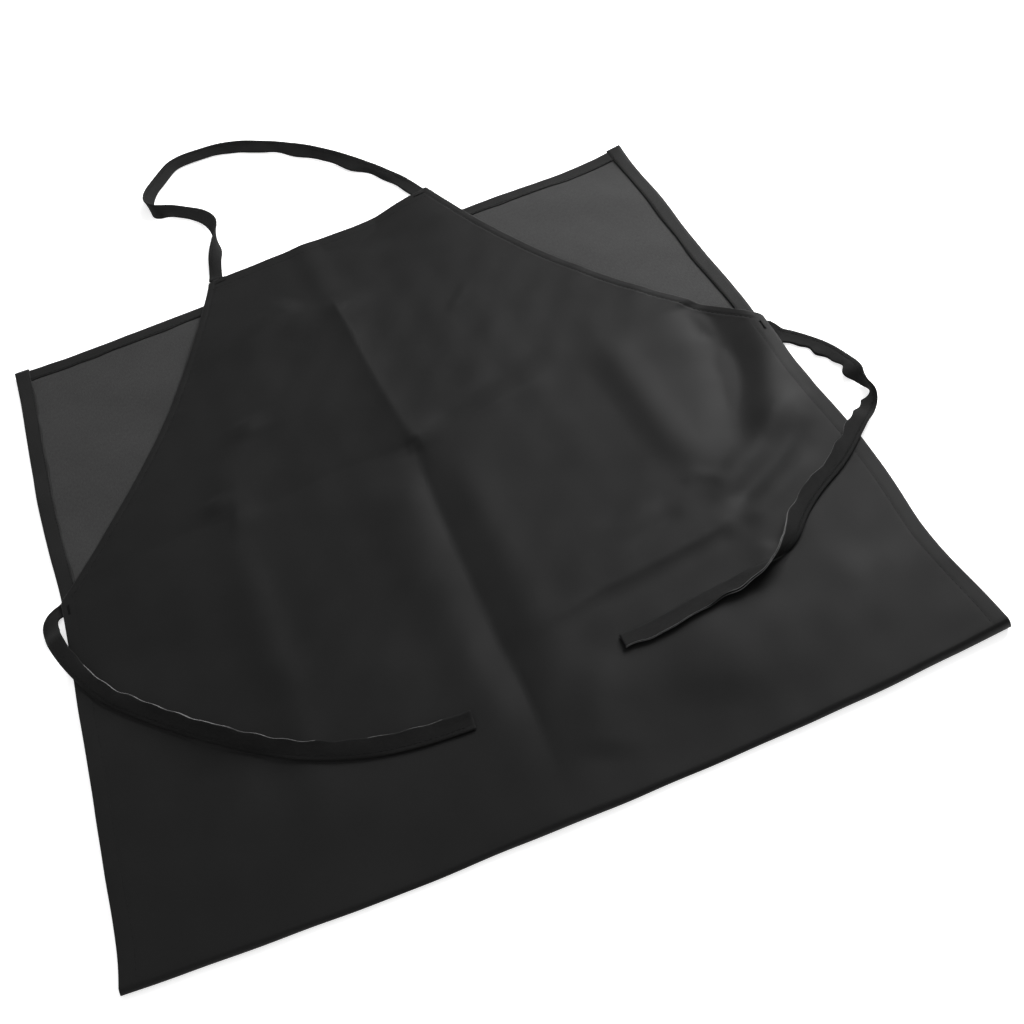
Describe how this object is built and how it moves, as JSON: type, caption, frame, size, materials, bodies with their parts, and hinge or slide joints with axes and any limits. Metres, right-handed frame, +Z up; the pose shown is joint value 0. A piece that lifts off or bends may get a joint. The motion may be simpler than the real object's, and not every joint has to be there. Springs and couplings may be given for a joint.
{
  "type": "bib apron",
  "caption": "Black cloth bib apron lying flat with its lower skirt folded under: hemmed panel, curved armholes, sewn neck loop and two waist ties.",
  "frame": {"origin": "middle of the sewn apron's footprint on the surface it lies on, straps left out", "axes": "+X across the apron to its right side, +Y from the fold towards the bib, +Z up"},
  "size_m": [0.6217, 0.8076, 0.0187],
  "materials": {
    "cloth_face": "black woven polyester and cotton, face side, faint soft sheen",
    "cloth_back": "the same cloth's wrong side, greyer and more matt",
    "strap": "folded strip of the same cloth, pale raw edge along one side",
    "thread": "black sewing thread"
  },
  "bodies": {
    "flap": {"skirt_flap": "cloth_back", "flap_left_hem": "cloth_face", "flap_right_hem": "cloth_face", "bottom_hem": "cloth_face", "flap_left_seam": "thread", "flap_right_seam": "thread", "bottom_seam": "thread", "skirt_fold": "cloth_face"},
    "front": {"front_panel": "cloth_face", "front_left_hem": "cloth_face", "front_right_hem": "cloth_face", "left_armhole_hem": "cloth_face", "right_armhole_hem": "cloth_face", "bib_hem": "cloth_face", "front_left_seam": "thread", "front_right_seam": "thread", "left_armhole_seam": "thread", "right_armhole_seam": "thread", "bib_seam": "thread", "neck_left_end": "strap", "neck_right_end": "strap", "left_tie_end": "strap", "right_tie_end": "strap", "neck_left_bartack": "thread", "neck_right_bartack": "thread", "left_tie_bartack": "thread", "right_tie_bartack": "thread", "left_tie": "strap", "right_tie": "strap"},
    "neck_loop": {"neck_strap": "strap"}
  },
  "joints": [
    {"name": "skirt_unfold", "type": "hinge", "parent": "flap", "child": "front", "pos_m": [0, -0.305, 0.0025], "axis": [1, 0, 0], "range_deg": [0, 160], "deforming": ["skirt_fold"]},
    {"name": "neck_loop_lift", "type": "hinge", "parent": "front", "child": "neck_loop", "pos_m": [0, 0.3075, 0.006], "axis": [1, 0, 0], "range_deg": [0, 110]}
  ]
}
